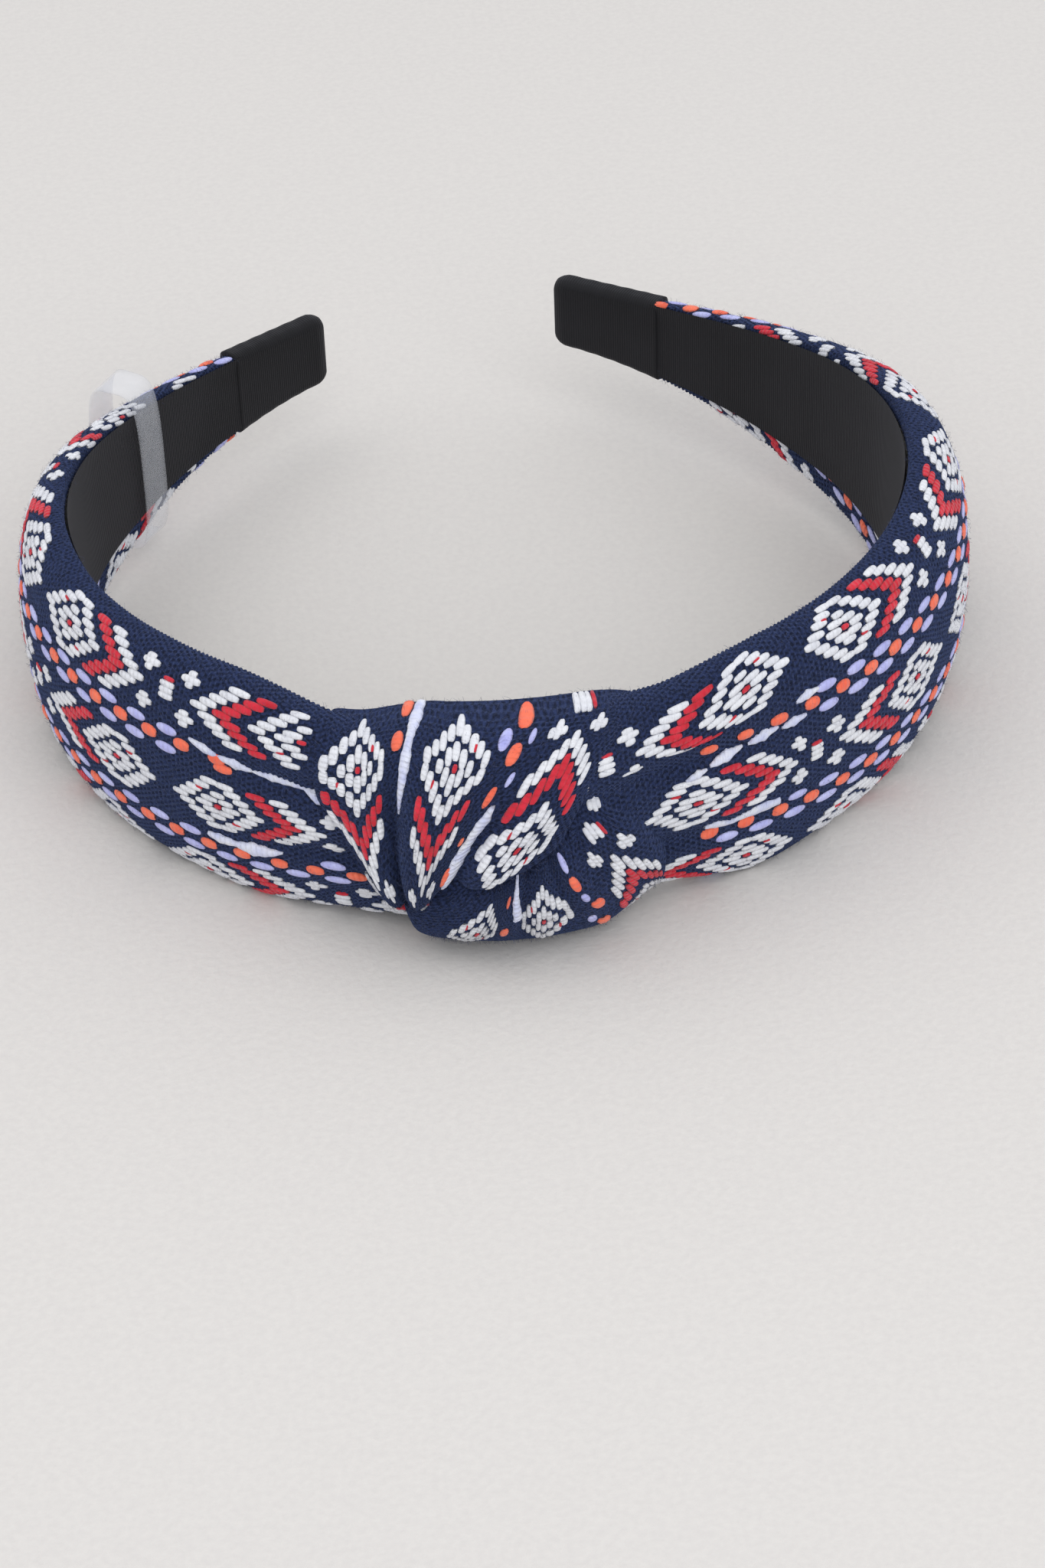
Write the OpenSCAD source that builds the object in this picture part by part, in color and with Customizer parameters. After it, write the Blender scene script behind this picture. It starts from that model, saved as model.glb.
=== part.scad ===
// Knotted headband: a springy padded hoop in a patterned fabric, tied in a knot at the front.
// The hoop stands on its lower edge. The knot faces -Y and the open tips point to +Y.

/* [Hoop] */
// Bend radius of the hoop across the forehead
front_radius = 68; // [64:1:72]
// Bend radius of the hoop at the temples
side_radius = 58; // [55:1:61]
// Bend radius of the hoop behind the ears
back_radius = 110; // [100:1:125]
// Length of the front bend, from the middle of the hoop
front_length = 62; // [59:1:65]
// Length of the bend at a temple
side_length = 68; // [65:1:70]
// Length of the straighter end that runs to a tip
back_length = 56; // [52:1:58]
// How much higher the right tip stands than the left tip
right_tip_rise = 3; // [0:0.5:4]

/* [Band] */
// Height of the padded band at the temples
band_height = 38.5; // [37.5:0.5:39.5]
// Height of the band at its tips
tip_height = 12.5; // [12:0.5:14]
// Height of the middle of the left tip above the floor
tip_middle = 17.4; // [16.6:0.2:18.6]
// Thickness of the padded band at the temples
band_thickness = 8.6; // [8:0.1:9]
// Thickness of the band at its tips
tip_thickness = 3.8; // [3.8:0.1:4.2]
// Distance from the middle of the hoop to where the band starts to narrow
taper_start = 84; // [78:1:90]
// Thickness of the patterned fabric with its turned edge
fabric = 0.8; // [0.6:0.1:0.9]
// Thickness of the springy core strip
core_thickness = 1.2; // [1:0.1:1.3]
// Share of the band's height that the core strip takes
core_share = 0.68; // [0.6:0.02:0.7]
// Fabric turned over onto the inside along the lower edge
low_margin = 9; // [7:0.5:10]
// Fabric turned over onto the inside along the upper edge
top_margin = 3; // [2:0.5:4]
// Thickness of the lining ribbon
lining = 0.5; // [0.3:0.1:0.6]
// Length of each tip that is wrapped in black ribbon
wrap_length = 20; // [16:1:24]

/* [Knot] */
// How far the middle of the knot sits to the right of the hoop's middle
knot_at = -5.5; // [-6:0.5:-4]
// Half of the knot's length along the hoop
knot_half = 21.5; // [20:0.5:22]
// Height of the knot's top above the floor
knot_top = 37.6; // [37.2:0.1:38.4]
// Thickness of the knot at its ends
knot_edge = 9.6; // [9.2:0.1:11]
// Thickness of the knot at its middle
knot_middle = 15; // [13:0.5:16]
// How much the band's upper and lower edges draw in beside the knot
knot_pinch = 3.2; // [2.8:0.1:3.6]

/* [Tag loop] */
// Distance of the loop's middle from the middle of the hoop
loop_at = 141; // [138:1:144]
// Width of the clear strap that makes the loop
loop_width = 6.5; // [5:0.5:8]
// Thickness of the clear strap
loop_film = 0.35; // [0.3:0.05:0.4]

/* [Hidden] */

navy = "#2a3050";
black = "#24252a";
white = "#e9e7e0";
clear = [0.86, 0.88, 0.92, 0.45];

arm_length = front_length + side_length + back_length;
wrap_start = arm_length - wrap_length;
tip_end = arm_length + 0.5;

// Soft lower edges sink this far below the floor and are pressed flat there
seat = 0.3;
band_middle = band_height / 2 - seat;
knot_half_height = (knot_top + 2 * seat) / 2;
knot_middle_z = knot_top - knot_half_height;

// Layers outwards from the spine, which is the inner face of the turned fabric
clearance = 0.1;
core_inner = clearance + fabric + clearance;
core_outer = core_inner + core_thickness;
foam_inner = core_outer + clearance;
foam_slack = fabric + 3 * clearance;
lining_inner = -lining;
wrap_film = 1.1;
wrap_inner = core_inner - wrap_film;
wrap_outer = core_outer + wrap_film;
wrap_slack = 0.15;

// The knot runs between these two places on the hoop, which are negative to the left
knot_left = knot_at - knot_half;
knot_right = knot_at + knot_half;

// The arms bend about upright lines just outside the knot
hinge_gap = 1.9;
core_gap = 1;
sleeve_gap = 2.9;
foam_end = wrap_start - 16;

// Knot layers on the inside of the hoop
knot_rim_inner = lining_inner - 0.15;
knot_window = knot_half_height - 2.3;
back_half = 15;
back_outer = knot_rim_inner - clearance;
back_thickness = 1.7;
// Height of the crease between flap and roll, at points along the hoop
crease = [[-28, 8], [-20.5, 8.3], [-14.5, 11], [-7, 14.6], [0, 20.4], [17, 26]];

ring_step = 6;
arch_steps = 12;

// ---- The hoop's line: three arcs a side that meet smoothly ----

function turn(length, radius) = length / radius * 180 / PI;

function along_arc(start, heading, radius, length) =
    let (end_heading = heading + turn(length, radius))
    start + radius * [sin(end_heading) - sin(heading), cos(heading) - cos(end_heading)];

side_heading = turn(front_length, front_radius);
back_heading = side_heading + turn(side_length, side_radius);
side_point = along_arc([0, 0], 0, front_radius, front_length);
back_point = along_arc(side_point, side_heading, side_radius, side_length);
back_from = front_length + side_length;

function heading_at(s) =
    s <= front_length ? turn(s, front_radius)
    : s <= back_from ? side_heading + turn(s - front_length, side_radius)
    : back_heading + turn(s - back_from, back_radius);

function spine_at(s) =
    s <= front_length ? along_arc([0, 0], 0, front_radius, s)
    : s <= back_from ? along_arc(side_point, side_heading, side_radius, s - front_length)
    : along_arc(back_point, back_heading, back_radius, s - back_from);

function stations(from, to) =
    let (steps = max(1, round((to - from) / ring_step)))
    [for (i = [0 : steps]) from + (to - from) * i / steps];

function knot_thickness_at(s) =
    knot_edge + (knot_middle - knot_edge) * cos(90 * (s - knot_at) / knot_half);

// The origin lies midway between the front of the knot and the back of the tips
knot_front = max([for (s = stations(knot_left, knot_right))
    knot_thickness_at(s) * cos(heading_at(abs(s))) - spine_at(abs(s)).y]);
tips_back = spine_at(tip_end).y - wrap_outer * cos(heading_at(tip_end));
origin_y = (tips_back - knot_front) / 2;

// A point s along the hoop, n outwards from its spine and z up. The left side has a negative s.
function place(s, n, z) =
    let (heading = heading_at(abs(s)), spine = spine_at(abs(s)), x = spine.x + n * sin(heading))
    [s < 0 ? -x : x, spine.y - n * cos(heading) - origin_y, z];

// ---- The band's size along the hoop ----

function smooth(x) = let (t = min(1, max(0, x))) t * t * (3 - 2 * t);

// 1 along the full band, falling to 0 at the tip
function fullness(s) = 1 - smooth((abs(s) - taper_start) / (arm_length - taper_start));

// 1 beside the knot, falling to 0 further along the arms
function gathering(s) = 1 - smooth((abs(s - knot_at) - knot_half) / 20);

function height_at(s) =
    tip_height + (band_height - tip_height) * fullness(s) - 2 * knot_pinch * gathering(s);
function thickness_at(s) = tip_thickness + (band_thickness - tip_thickness) * fullness(s);
function middle_at(s) =
    tip_middle + (band_middle - tip_middle) * fullness(s)
    + (s > 0 ? right_tip_rise * pow(s / arm_length, 2) : 0);
function low_margin_at(s) = 1.5 + (low_margin - 1.5) * fullness(s);
function top_margin_at(s) = 1 + (top_margin - 1) * fullness(s);

// ---- Sections, as [n, z] points around the band's middle ----

// A flat back at n and a rounded front that stands depth proud of it
function arch(n, depth, half, power) =
    [for (i = [0 : arch_steps])
        let (angle = -90 + 180 * i / arch_steps)
        [n + depth * pow(max(0, cos(angle)), power), half * sin(angle)]];

function backwards(points) = [for (i = [len(points) - 1 : -1 : 0]) points[i]];

function box_section(n_low, n_high, z_low, z_high) =
    [[n_high, z_low], [n_high, z_high], [n_low, z_high], [n_low, z_low]];

function cover_section(s) =
    let (
        half = height_at(s) / 2,
        depth = thickness_at(s) - clearance,
        top = half - top_margin_at(s),
        low = -half + low_margin_at(s),
        turned = clearance + fabric
    )
    concat(
        arch(clearance, depth, half, 0.6),
        [[clearance, top], [turned, top]],
        backwards(arch(turned, depth - 2 * fabric, half - fabric, 0.6)),
        [[turned, low], [clearance, low]]
    );

function core_section(s) =
    let (half = height_at(s) * core_share / 2)
    box_section(core_inner, core_outer, -half, half);

// A slot for the core, with as many points as an arch
function pocket_section(s) =
    let (
        half = height_at(s) * core_share / 2 + wrap_slack,
        low = core_inner - wrap_slack,
        high = core_outer + wrap_slack
    )
    concat(
        [[low, -half]],
        [for (i = [1 : arch_steps - 1]) [high, half * (2 * (i - 1) / (arch_steps - 2) - 1)]],
        [[low, half]]
    );

function foam_section(s) =
    let (half = (height_at(s) / 2 - fabric - 0.4) * 0.97)
    arch(foam_inner, thickness_at(s) - foam_slack - foam_inner, half, 0.75);

function lining_section(s) =
    let (half = height_at(s) / 2)
    box_section(lining_inner, 0, -half + low_margin_at(s), half - top_margin_at(s));

function wrap_section(s, scale) =
    arch(wrap_inner, wrap_outer - wrap_inner, height_at(s) / 2 * scale, 0.3);

function loop_section(grow) =
    arch(-1.4 - grow, thickness_at(loop_at) + 2.5 + 2 * grow, height_at(loop_at) / 2 + 1.9 + grow, 0.4);

// The knot's rounded front between two heights
function knot_arch(s, from, to) =
    let (depth = knot_thickness_at(s) - knot_rim_inner, low = asin(from / knot_half_height))
    [for (i = [0 : arch_steps])
        let (angle = low + (asin(to / knot_half_height) - low) * i / arch_steps)
        [knot_rim_inner + depth * sqrt(max(0, cos(angle))), knot_half_height * sin(angle)]];

function crease_at(s) = lookup(s, crease) - knot_middle_z;

function flap_section(s) =
    concat(
        knot_arch(s, crease_at(s), knot_half_height),
        [[knot_rim_inner, knot_window], [foam_inner, knot_window], [foam_inner, crease_at(s)]]
    );

function roll_section(s) =
    let (top = crease_at(s) - clearance)
    concat(
        knot_arch(s, -knot_half_height, top),
        [[foam_inner, top], [foam_inner, -knot_window], [knot_rim_inner, -knot_window]]
    );

// ---- Building blocks ----

// A closed solid through rings of points. Its ends are capped, or joined to each other if it is a loop.
module skin(rings, loop = false) {
    count = len(rings[0]);
    total = len(rings) * count;
    last = len(rings) - (loop ? 1 : 2);
    sides = [for (r = [0 : last], i = [0 : count - 1], half = [0, 1])
        let (
            a = r * count + i,
            b = r * count + (i + 1) % count,
            a_next = (a + count) % total,
            b_next = (b + count) % total
        )
        half == 0 ? [a, b_next, a_next] : [a, b, b_next]];
    caps = loop ? [] : [
        [for (i = [count - 1 : -1 : 0]) i],
        [for (i = [0 : count - 1]) total - count + i]
    ];
    polyhedron(points = [for (ring = rings, point = ring) point], faces = concat(caps, sides));
}

// A section placed s along the hoop, and pressed flat where it meets the floor
function ring(s, section, middle) = [for (p = section) place(s, p[0], max(0, middle + p[1]))];

// ---- The springy core ----

module core_strip(from, to) {
    color(white)
        skin([for (s = stations(from, to)) ring(s, core_section(s), middle_at(s))]);
}

// ---- The padded arms ----

module foam(from, to) {
    color(white)
        skin([for (s = stations(from, to)) ring(s, foam_section(s), middle_at(s))]);
}

module cover(from, to) {
    color(navy)
        skin([for (s = stations(from, to)) ring(s, cover_section(s), middle_at(s))]);
}

module lining_strip(from, to) {
    color(black)
        skin([for (s = stations(from, to)) ring(s, lining_section(s), middle_at(s))]);
}

// A ribbon sleeve over the end of the core, closed and rounded off at the tip. side is 1 or -1.
module tip_wrap(side) {
    from = wrap_start + clearance;
    pocket = [for (s = backwards(stations(from, arm_length - 0.8)))
        ring(side * s, pocket_section(s), middle_at(side * s))];
    outside = [for (e = [[from, 1], [from + 7, 1], [from + 14, 1], [arm_length - 1.5, 1],
        [arm_length - 0.4, 0.93], [tip_end, 0.75]])
        ring(side * e[0], wrap_section(e[0], e[1]), middle_at(side * e[0]))];
    rings = concat(pocket, outside);
    color(black)
        skin(side > 0 ? rings : backwards(rings));
}

// A loose loop of clear strap around the left arm
module tag_loop() {
    half = loop_width / 2;
    across = [-loop_at - half, -loop_at, -loop_at + half];
    middle = middle_at(-loop_at);
    outside = [for (s = across) ring(s, loop_section(loop_film), middle)];
    inside = [for (s = backwards(across)) ring(s, loop_section(0), middle)];
    color(clear)
        skin(concat(outside, inside), loop = true);
}

// ---- The knot ----

// The broad fabric loop that comes over the upper edge and down the front
module knot_flap() {
    color(navy)
        skin([for (s = stations(knot_left, knot_right)) ring(s, flap_section(s), knot_middle_z)]);
}

// The gathered roll that leaves the knot at its bottom and runs up to the right
module knot_roll() {
    color(navy)
        skin([for (s = stations(knot_left, knot_right)) ring(s, roll_section(s), knot_middle_z)]);
}

// The fabric that crosses the inside of the hoop behind the knot
module knot_back() {
    half = knot_window + 1;
    section = box_section(back_outer - back_thickness, back_outer, -half, half);
    color(navy)
        skin([for (s = stations(knot_at - back_half, knot_at + back_half)) ring(s, section, knot_middle_z)]);
}

// Hand stitches that hold the inside of the knot together
module tack_stitches() {
    thread = 0.3;
    below_middle = 8;
    inwards = back_outer - back_thickness - thread - clearance;
    color(black)
        for (i = [-2 : 2])
            let (s = knot_at + i * 3.2)
            translate(place(s, inwards, knot_middle_z - below_middle))
                rotate([0, 70, heading_at(abs(s)) * sign(s)])
                    cylinder(h = 2.6, r = thread, center = true, $fn = 24);
}

left_hinge = hinge_gap - knot_left;
right_hinge = hinge_gap + knot_right;
left_sleeve = sleeve_gap - knot_left;
right_sleeve = sleeve_gap + knot_right;

core_strip(core_gap / 2 - left_hinge, right_hinge - core_gap / 2);  // core_crown
core_strip(1 - arm_length, -left_hinge - core_gap / 2);  // core_arm_left
core_strip(right_hinge + core_gap / 2, arm_length - 1);  // core_arm_right
foam(-foam_end, -left_sleeve);  // foam_left
foam(right_sleeve, foam_end);  // foam_right
cover(-wrap_start, -left_sleeve);  // cover_left
cover(right_sleeve, wrap_start);  // cover_right
knot_flap();
knot_roll();
knot_back();
tack_stitches();
lining_strip(knot_left, knot_right);  // lining_crown
lining_strip(-wrap_start, -left_sleeve);  // lining_left
lining_strip(right_sleeve, wrap_start);  // lining_right
tip_wrap(-1);  // tip_wrap_left
tip_wrap(1);  // tip_wrap_right
tag_loop();
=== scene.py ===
"""A knotted headband: patterned cloth over a padded hoop, with black ribbon inside and at its tips."""

import math

import bpy
import numpy as np
from mathutils import Matrix, Vector


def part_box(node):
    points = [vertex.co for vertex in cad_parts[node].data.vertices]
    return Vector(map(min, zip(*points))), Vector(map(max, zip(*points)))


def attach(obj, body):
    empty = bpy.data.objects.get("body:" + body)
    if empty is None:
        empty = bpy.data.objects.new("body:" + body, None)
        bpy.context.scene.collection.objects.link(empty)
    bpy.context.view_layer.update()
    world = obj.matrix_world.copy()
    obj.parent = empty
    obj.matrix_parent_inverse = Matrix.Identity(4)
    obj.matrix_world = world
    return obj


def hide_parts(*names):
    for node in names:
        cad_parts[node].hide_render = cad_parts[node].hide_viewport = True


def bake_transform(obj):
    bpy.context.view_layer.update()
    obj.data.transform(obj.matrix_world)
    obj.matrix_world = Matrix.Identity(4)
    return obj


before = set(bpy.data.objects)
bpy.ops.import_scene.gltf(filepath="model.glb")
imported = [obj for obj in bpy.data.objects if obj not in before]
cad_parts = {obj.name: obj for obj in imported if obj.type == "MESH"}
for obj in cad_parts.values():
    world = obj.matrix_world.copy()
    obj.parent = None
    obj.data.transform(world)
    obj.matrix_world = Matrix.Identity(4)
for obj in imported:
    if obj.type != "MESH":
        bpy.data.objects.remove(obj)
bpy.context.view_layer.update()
chance = np.random.default_rng(7)

MM = 0.001

# ---- The hoop, in millimetres. s runs along it from its middle, and is negative on the left. ----

FRONT_RADIUS, SIDE_RADIUS, BACK_RADIUS = 68.0, 58.0, 110.0
FRONT_LENGTH, SIDE_LENGTH, BACK_LENGTH = 62.0, 68.0, 56.0
ARM_LENGTH = FRONT_LENGTH + SIDE_LENGTH + BACK_LENGTH
BAND_HEIGHT, TIP_HEIGHT = 38.5, 12.5
BAND_THICKNESS, TIP_THICKNESS = 8.6, 3.8
TAPER_START = 84.0
WRAP_START = ARM_LENGTH - 20.0
RIGHT_TIP_RISE = 3.0
BAND_MIDDLE, TIP_MIDDLE = 18.95, 17.4

KNOT_AT, KNOT_HALF = -5.5, 21.5
KNOT_MIDDLE_Z, KNOT_HALF_HEIGHT = 18.5, 19.1
KNOT_EDGE, KNOT_MIDDLE = 9.6, 15.3
KNOT_INNER = -0.65
KNOT_PINCH = 3.2

RIB, WEAVE_DEPTH = 0.75, 0.3
ARM_NAMES = {-1: "left", 1: "right"}


def smooth(x):
    t = np.clip(x, 0.0, 1.0)
    return t * t * (3 - 2 * t)


def hump(x, middle, width):
    return np.exp(-(((x - middle) / width) ** 2))


def spine(s):
    """The inner line of the hoop at |s|: x, y and heading, before the origin is moved."""
    s = np.abs(s)
    side_heading = FRONT_LENGTH / FRONT_RADIUS
    back_heading = side_heading + SIDE_LENGTH / SIDE_RADIUS
    side_x = FRONT_RADIUS * math.sin(side_heading)
    side_y = FRONT_RADIUS * (1 - math.cos(side_heading))
    back_x = side_x + SIDE_RADIUS * (math.sin(back_heading) - math.sin(side_heading))
    back_y = side_y + SIDE_RADIUS * (math.cos(side_heading) - math.cos(back_heading))
    front = s <= FRONT_LENGTH
    side = s <= FRONT_LENGTH + SIDE_LENGTH
    heading = np.where(
        front,
        s / FRONT_RADIUS,
        np.where(
            side,
            side_heading + (s - FRONT_LENGTH) / SIDE_RADIUS,
            back_heading + (s - FRONT_LENGTH - SIDE_LENGTH) / BACK_RADIUS,
        ),
    )
    x = np.where(
        front,
        FRONT_RADIUS * np.sin(heading),
        np.where(
            side,
            side_x + SIDE_RADIUS * (np.sin(heading) - math.sin(side_heading)),
            back_x + BACK_RADIUS * (np.sin(heading) - math.sin(back_heading)),
        ),
    )
    y = np.where(
        front,
        FRONT_RADIUS * (1 - np.cos(heading)),
        np.where(
            side,
            side_y + SIDE_RADIUS * (math.cos(side_heading) - np.cos(heading)),
            back_y + BACK_RADIUS * (math.cos(back_heading) - np.cos(heading)),
        ),
    )
    return x, y, heading


def origin_y():
    """How far the hoop's middle lies in front of the origin, found from the back of a tip's wrap."""
    x, y, heading = spine(np.array(ARM_LENGTH + 0.5))
    back = float(y) - 3.3 * math.cos(float(heading))
    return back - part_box("tip_wrap_left")[1].y / MM


ORIGIN_Y = origin_y()


def place(s, n, z):
    """A point s along the hoop, n outwards from the inside of the band, and z up."""
    s, n, z = np.broadcast_arrays(*(np.asarray(a, float) for a in (s, n, z)))
    x, y, heading = spine(s)
    side = np.where(s < 0, -1.0, 1.0)
    across = side * (x + n * np.sin(heading))
    return np.stack([across, y - n * np.cos(heading) - ORIGIN_Y, z], -1)


def fullness(s):
    return 1 - smooth((np.abs(s) - TAPER_START) / (ARM_LENGTH - TAPER_START))


def beside_knot(s, reach=20.0):
    """1 beside the knot, falling to 0 along the arms."""
    return 1 - smooth((np.abs(s - KNOT_AT) - KNOT_HALF) / reach)


def height_at(s):
    full = TIP_HEIGHT + (BAND_HEIGHT - TIP_HEIGHT) * fullness(s)
    return full - 2 * KNOT_PINCH * beside_knot(s)


def thickness_at(s):
    return TIP_THICKNESS + (BAND_THICKNESS - TIP_THICKNESS) * fullness(s)


def middle_at(s):
    level = TIP_MIDDLE + (BAND_MIDDLE - TIP_MIDDLE) * fullness(s)
    return level + np.where(s > 0, RIGHT_TIP_RISE * (s / ARM_LENGTH) ** 2, 0.0)


def low_margin_at(s):
    return 1.5 + 7.5 * fullness(s)


def top_margin_at(s):
    return 1 + 2 * fullness(s)


def knot_thickness_at(s):
    t = np.clip((s - KNOT_AT) / KNOT_HALF, -1, 1)
    return KNOT_EDGE + (KNOT_MIDDLE - KNOT_EDGE) * np.cos(t * math.pi / 2)


def knot_point(s, angle, lift):
    """A point on the knot. angle is 0 at the front, 90 at the top and 180 on the inside."""
    turn = np.radians(angle)
    c = np.cos(turn)
    depth = np.where(c > 0, knot_thickness_at(s) - KNOT_INNER + lift, 1.6 + lift * 0.3)
    n = KNOT_INNER + np.sign(c) * depth * np.abs(c) ** 0.6
    z = KNOT_MIDDLE_Z + (KNOT_HALF_HEIGHT + 0.3 * lift) * np.sin(turn)
    return place(s, n, np.maximum(z, 0.0))


def blurred(grid, steps):
    """A grid of values softened by a few passes of a small average in both directions."""
    for _ in range(steps):
        for axis in (0, 1):
            size = grid.shape[axis]
            before = np.take(grid, np.r_[0, 0 : size - 1], axis)
            after = np.take(grid, np.r_[1:size, size - 1], axis)
            grid = 0.25 * before + 0.5 * grid + 0.25 * after
    return grid


# ---- Cloth: a surface with its own coordinates, u along the weave and v across it ----


class Cloth:
    def __init__(self, shape, u_range, v_range, step=0.5, limits=None):
        self.step = step
        self.u = np.arange(u_range[0], u_range[1] + step, step)
        self.v = np.arange(v_range[0], v_range[1] + step, step)
        self.limits = limits or (lambda u: (u * 0 + v_range[0], u * 0 + v_range[1]))
        uu, vv = np.meshgrid(self.u, self.v, indexing="ij")
        self.points = shape(uu, vv)
        along = np.gradient(self.points, axis=0)
        across = np.gradient(self.points, axis=1)
        normal = np.cross(along, across)
        length = np.linalg.norm(normal, axis=-1, keepdims=True)
        self.normals = normal / np.maximum(length, 1e-9)
        middle = self.points[len(self.u) // 2, len(self.v) // 2]
        facing = self.normals[len(self.u) // 2, len(self.v) // 2]
        if facing @ np.array([middle[0], middle[1], 0.0]) < 0:
            self.normals = -self.normals
            self.flip = True
        else:
            self.flip = False

    def lookup(self, grid, u, v):
        a = np.clip((u - self.u[0]) / self.step, 0, len(self.u) - 1.001)
        b = np.clip((v - self.v[0]) / self.step, 0, len(self.v) - 1.001)
        i, j = a.astype(int), b.astype(int)
        p, q = (a - i)[..., None], (b - j)[..., None]
        near = grid[i, j] * (1 - q) + grid[i, j + 1] * q
        far = grid[i + 1, j] * (1 - q) + grid[i + 1, j + 1] * q
        return near * (1 - p) + far * p

    def at(self, u, v, lift):
        u, v, lift = np.broadcast_arrays(*(np.asarray(a, float) for a in (u, v, lift)))
        normal = self.lookup(self.normals, u, v)
        normal = normal / np.maximum(np.linalg.norm(normal, axis=-1, keepdims=True), 1e-9)
        return self.lookup(self.points, u, v) + normal * lift[..., None]


def make_piece(name, points, faces, material, uv=None):
    """A mesh object from points in millimetres and lists of corners. uv has one pair for each point."""
    mesh = bpy.data.meshes.new(name)
    mesh.from_pydata((np.asarray(points).reshape(-1, 3) * MM).tolist(), [], faces)
    mesh.materials.append(material)
    mesh.polygons.foreach_set("use_smooth", [True] * len(mesh.polygons))
    if uv is not None:
        corner = np.empty(len(mesh.loops), int)
        mesh.loops.foreach_get("vertex_index", corner)
        layer = mesh.uv_layers.new(name="cloth")
        layer.data.foreach_set("uv", np.asarray(uv, float).reshape(-1, 2)[corner].ravel())
    mesh.update()
    piece = bpy.data.objects.new(name, mesh)
    bpy.context.scene.collection.objects.link(piece)
    return piece


def grid_faces(rows, columns, closed_across=False, closed_along=False, flip=False):
    last_row = rows if closed_along else rows - 1
    last_column = columns if closed_across else columns - 1
    i, j = np.meshgrid(np.arange(last_row), np.arange(last_column), indexing="ij")
    a = i * columns + j
    b = i * columns + (j + 1) % columns
    c = ((i + 1) % rows) * columns + (j + 1) % columns
    d = ((i + 1) % rows) * columns + j
    faces = np.stack([a, b, c, d] if flip else [a, d, c, b], -1)
    return faces.reshape(-1, 4).tolist()


def tube_faces(rings, around):
    """A tube of rings, closed at both ends."""
    faces = grid_faces(rings, around, closed_across=True)
    faces.append(list(range(around))[::-1])
    faces.append([(rings - 1) * around + i for i in range(around)])
    return faces


def weave_piece(name, cloth, u_range, columns, material):
    """The cloth as a mesh whose fine ribs run across it. columns go from 0 to 1 across the cloth."""
    rows = np.arange(u_range[0], u_range[1], RIB / 4)
    low, high = cloth.limits(rows)
    u = np.repeat(rows[:, None], len(columns), 1)
    v = low[:, None] + (high - low)[:, None] * columns[None, :]
    wander = 0.1 * np.sin(v * 0.9 + u * 0.23) + 0.07 * np.sin(v * 2.3 - u * 0.41)
    lift = WEAVE_DEPTH * (np.abs(np.cos(math.pi * (u + wander) / RIB)) - 0.8)
    points = cloth.at(u, v, lift)
    faces = grid_faces(len(rows), len(columns), flip=cloth.flip)
    return make_piece(name, points, faces, material, np.stack([u, v], -1))


def fuzz_piece(name, cloth, u_range, v_range, count, material):
    """Loose fibres that stand off the cloth. Each is a thin three-sided tube of three rings."""
    third_of_turn = 2.09
    u = chance.uniform(*u_range, count)
    low, high = cloth.limits(u)
    v = np.maximum(low, v_range[0]) + chance.uniform(0, 1, count) * (
        np.minimum(high, v_range[1]) - np.maximum(low, v_range[0])
    )
    lean = chance.normal(0, 0.45, (count, 2))
    reach = chance.uniform(0.25, 0.8, count)
    rings = []
    for share, radius in ((0.0, 0.02), (0.5, 0.016), (1.0, 0.008)):
        at = cloth.at(u + lean[:, 0] * share, v + lean[:, 1] * share, reach * share * (1.6 - 0.6 * share))
        for k in range(3):
            turn = k * third_of_turn
            corner = np.array([math.cos(turn), math.sin(turn), 0.6 * math.sin(turn + 1)]) * radius
            rings.append(at + corner)
    points = np.stack(rings, 1).reshape(-1, 3)
    one = []
    for r in (0, 3):
        for k in range(3):
            beside = (k + 1) % 3
            one.append((r + k, r + beside, r + 3 + beside, r + 3 + k))
    one += [(2, 1, 0), (6, 7, 8)]
    faces = [[i + 9 * n for i in face] for n in range(count) for face in one]
    return make_piece(name, points, faces, material)


# ---- The woven pattern: raised floats of coloured yarn, all of them along u ----
# A float is (u, v, length, width, colour).

PERIOD = 60.8
BEAD_PITCH = PERIOD / 11
ROW_PITCH = 1.07


def chevron(colour, vertex, spread):
    return [(vertex + spread * abs(k), ROW_PITCH * k, 3.1, 1.24, colour) for k in range(-4, 5)]


def diamond(middle):
    """A ring of floats with a smaller ring, a red centre and two red stitches."""
    ring = []
    for k in range(-4, 5):
        reach = 6.3 - 1.27 * abs(k)
        for side in (-1, 1):
            ring.append((middle + side * reach, ROW_PITCH * k, 2.8, 1.22, "white"))
    for k, reach, length in ((0, 2.3, 2.9), (1, 1.35, 2.8), (-1, 1.35, 2.8)):
        for side in (-1, 1):
            ring.append((middle + side * reach, ROW_PITCH * k, length, 1.15, "white"))
    for k in (-2, 2):
        ring.append((middle, ROW_PITCH * k, 2.4, 1.1, "white"))
    ring.append((middle, 0.0, 1.3, 0.8, "red"))
    for side in (-1, 1):
        ring.append((middle + side * 2.9, side * 2.5, 1.4, 0.6, "red"))
    return ring


def cluster():
    """Four small crosses around a block with a red edge."""
    dots = []
    for a in (-3.6, 3.6):
        for b in (-3.1, 3.1):
            dots.append((a, b, 3.3, 1.25, "white"))
            for side in (-0.85, 0.85):
                dots.append((a + 0.2, b + side, 1.6, 1.1, "white"))
    for b in (-0.95, 0.0, 0.95):
        dots.append((0.0, b, 2.4, 1.15, "white"))
    dots.append((0.0, 1.8, 2.0, 0.75, "red"))
    return dots


MOTIFS = {
    "cluster": cluster(),
    "white": chevron("white", 5.7, 1.4),
    "red": chevron("red", 9.4, 1.45),
    "diamond": diamond(21.3),
}


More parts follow.
